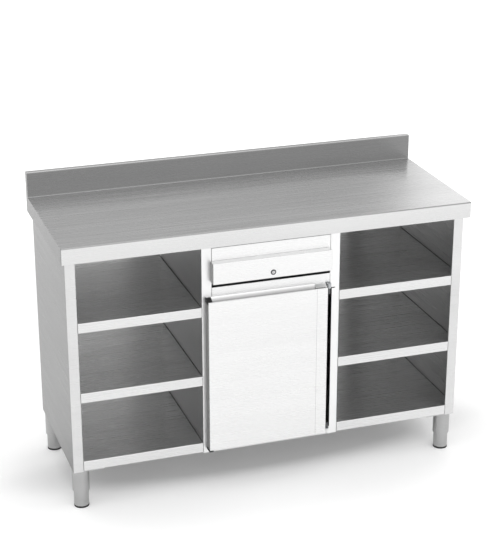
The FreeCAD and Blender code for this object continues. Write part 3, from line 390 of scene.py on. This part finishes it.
def screw_head(name, place, radius, height, axis):
    """A pan head with a socket: a short cylinder, domed by bevels, its face inset and sunk."""
    turn = {"x": (0, math.pi / 2, 0), "y": (-math.pi / 2, 0, 0)}[axis]
    way = {"x": Vector((1, 0, 0)), "y": Vector((0, 1, 0))}[axis]
    head = primitive("cylinder", name, vertices=24, radius=radius, depth=height, rotation=turn,
                     location=place + way * height / 2)
    outer = max(v.co.dot(way) for v in head.data.vertices)
    pick(head, "faces", lambda f: f.normal.dot(way) > 0.9)
    bpy.ops.mesh.inset(thickness=radius * 0.3)
    bpy.ops.mesh.inset(thickness=radius * 0.25)
    bpy.ops.mesh.extrude_region_move(TRANSFORM_OT_translate={"value": way * -height * 0.55})
    pick(head, "edges", lambda e: middle(e).dot(way) > outer - 0.01 * MM
         and (middle(e) - place).cross(way).length > radius * 0.9)
    bpy.ops.mesh.bevel(offset=height * 0.5, segments=3)
    return head


def make_screws(places, radius, height, axis, material, body):
    """One head, modelled at the first of the named places, and a copy of it at each of the others."""
    (name, origin), *others = places.items()
    first = done(screw_head(name, origin, radius, height, axis), material, body)
    for name, place in others:
        repeated(first, name, body, place - origin)


def make_fasteners():
    """Rivets through the back panels' flanges, the hinge screws and the screw of the lock cam."""
    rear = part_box("side_panel_left")[1][1]
    margin, rows, inward = 45 * MM, 5, 10 * MM
    foot, top = (corner[2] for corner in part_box("back_panel_centre"))
    pitch = (top - foot - 2 * margin) / (rows - 1)
    rivets = {}
    for panel in ("left", "centre", "right"):
        low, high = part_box(f"back_panel_{panel}")
        for edge, x in (("a", low[0] + inward), ("b", high[0] - inward)):
            for row in range(rows):
                rivets[f"back_rivet_{panel}_{edge}_{row}"] = Vector((x, rear, foot + margin + row * pitch))
    make_screws(rivets, 3.6 * MM, 1.6 * MM, "y", zinc, "carcass")

    low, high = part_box("door_hinge_leaves")
    _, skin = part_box("door_skin")
    leaf_face, line = skin[0] + 2 * MM, skin[1] - 12 * MM
    close, far = 30 * MM, 48 * MM  # from the ends of the door
    levels = {"lower_0": low[2] + close, "lower_1": low[2] + far,
              "upper_0": high[2] - far, "upper_1": high[2] - close}
    make_screws({f"hinge_screw_{level}": Vector((leaf_face, line, z)) for level, z in levels.items()},
                3.4 * MM, 1.8 * MM, "x", hinge_slot_shade_steel, "door")

    low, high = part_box("lock_barrel")
    cam_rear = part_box("lock_cam")[1][1]
    axle = Vector(((low[0] + high[0]) / 2, cam_rear, (low[2] + high[2]) / 2))
    make_screws({"lock_cam_screw": axle}, 4.5 * MM, 2.4 * MM, "y", zinc, "lock")


make_joints()
make_door_end_cap()
make_fasteners()


# ---------------------------------------------------------------------------------------------
# Floor, light and camera
# ---------------------------------------------------------------------------------------------
# Rings of painted light on the floor round the counter: how much more its depth counts than its width,
# the glow that is added, and the distances at which that starts and is complete
GLOWS = ((4.6, 0.18, 0.70, 1.04), (1.9, 0.06, 0.90, 1.15), (1.9, -0.16, 2.0, 4.0), (1.0, 0.32, 1.5, 3.6))


def make_floor():
    """A matt white floor that glows: painted light, in rings round the counter that shape the fade of its
    shadow, and far from it, to stay white.
    """
    bpy.ops.object.select_all(action="DESELECT")
    bpy.ops.mesh.primitive_grid_add(x_subdivisions=4, y_subdivisions=4, size=80, location=(0, 0, 0))
    floor = bpy.context.active_object
    floor.name = "studio_floor"
    material = bpy.data.materials.new("matt_white_studio_floor")
    material.use_nodes = True
    tree = material.node_tree
    tree.nodes.clear()
    path = add(tree, "ShaderNodeLightPath").outputs
    seen = path["Is Camera Ray"]
    for ray in ("Is Glossy Ray", "Is Transmission Ray"):
        seen = add(tree, "ShaderNodeMath", (seen, path[ray]), operation="ADD", use_clamp=True).outputs[0]
    place = add(tree, "ShaderNodeTexCoord").outputs["Object"]
    level = 0.0
    for depth, amount, start, end in GLOWS:
        oval = add(tree, "ShaderNodeVectorMath", (place, (1.0, depth, 0.0)), operation="MULTIPLY")
        away = add(tree, "ShaderNodeVectorMath", [oval.outputs[0]], operation="LENGTH")
        part = add(tree, "ShaderNodeMapRange", (away.outputs["Value"], start, end, 0.0, amount))
        level = add(tree, "ShaderNodeMath", (level, part.outputs[0]), operation="ADD").outputs[0]
    glow = add(tree, "ShaderNodeMath", (seen, level), operation="MULTIPLY").outputs[0]
    matt = add(tree, "ShaderNodeBsdfDiffuse", {"Color": linear("#f2f2f2")}).outputs[0]
    light = add(tree, "ShaderNodeEmission", {"Strength": glow}).outputs[0]
    both = add(tree, "ShaderNodeAddShader", (matt, light)).outputs[0]
    add(tree, "ShaderNodeOutputMaterial", {"Surface": both})
    floor.data.materials.append(material)


def make_world():
    """A pale room with a white horizon, brighter overhead, and a tall light panel in front."""
    world = bpy.data.worlds.new("studio")
    bpy.context.scene.world = world
    world.use_nodes = True
    tree = world.node_tree
    tree.nodes.clear()
    way = add(tree, "ShaderNodeTexCoord").outputs["Generated"]
    up = add(tree, "ShaderNodeSeparateXYZ", [way]).outputs[2]
    flat = add(tree, "ShaderNodeVectorMath", (way, (1.0, 1.0, 0.0)), operation="MULTIPLY").outputs[0]
    flat = add(tree, "ShaderNodeVectorMath", [flat], operation="NORMALIZE").outputs[0]
    ahead = add(tree, "ShaderNodeVectorMath", (flat, (0.30, -0.954, 0.0)), operation="DOT_PRODUCT")
    ahead = ahead.outputs["Value"]
    # Each: what it goes by, where it starts and ends, and its strength there
    overhead, wide, window, horizon = (
        add(tree, "ShaderNodeMapRange", part).outputs[0]
        for part in ((up, 0.35, 0.72, 0.36, 1.12), (ahead, 0.2, 0.9, 0.30, 0.68),
                     (ahead, 0.88, 0.93, 0.0, 0.80), (up, 0.08, 0.20, 1.0, 0.0)))
    front = add(tree, "ShaderNodeMath", (wide, window), operation="ADD").outputs[0]
    lit = add(tree, "ShaderNodeMath", (overhead, front), operation="MAXIMUM").outputs[0]
    level = add(tree, "ShaderNodeMath", (lit, horizon), operation="MAXIMUM").outputs[0]
    back = add(tree, "ShaderNodeBackground", {"Color": (1, 1, 1, 1), "Strength": level})
    add(tree, "ShaderNodeOutputWorld", {"Surface": back.outputs[0]})


def softbox(name, place, target, size, power):
    """A rectangular lamp at a place, turned to its target."""
    data = bpy.data.lights.new(name, "AREA")
    data.shape = "RECTANGLE"
    data.size, data.size_y = size
    data.energy = power
    lamp = bpy.data.objects.new(name, data)
    lamp.location = place
    lamp.rotation_euler = (Vector(target) - Vector(place)).to_track_quat("-Z", "Y").to_euler()
    bpy.context.scene.collection.objects.link(lamp)


FOCAL_PIXELS, IMAGE_PIXELS, SENSOR_MM = 1562.54, 500, 36
CAMERA_PLACE = (-1.75129, -5.2131, 2.91043)
LOOKS_DOWN, ROLL, TURNED_RIGHT = 21.478, 0.012, 18.652  # degrees


def make_camera():
    """A long lens in front of the counter's left end, a little above the worktop."""
    data = bpy.data.cameras.new("view")
    data.sensor_fit = "HORIZONTAL"
    data.sensor_width = SENSOR_MM
    data.lens = FOCAL_PIXELS / IMAGE_PIXELS * SENSOR_MM
    camera = bpy.data.objects.new("view", data)
    camera.location = CAMERA_PLACE
    camera.rotation_euler = [math.radians(a) for a in (90 - LOOKS_DOWN, ROLL, -TURNED_RIGHT)]
    bpy.context.scene.collection.objects.link(camera)
    bpy.context.scene.camera = camera


make_floor()
make_world()
softbox("overhead", (-0.7, -0.8, 4.0), (0.0, -0.1, 0), (5.6, 4.6), 24)
softbox("right_rear", (4.2, 4.0, 2.6), (0.6, 0, 0.9), (3.2, 3.2), 28)
make_camera()

scene = bpy.context.scene
scene.view_settings.view_transform = "Standard"
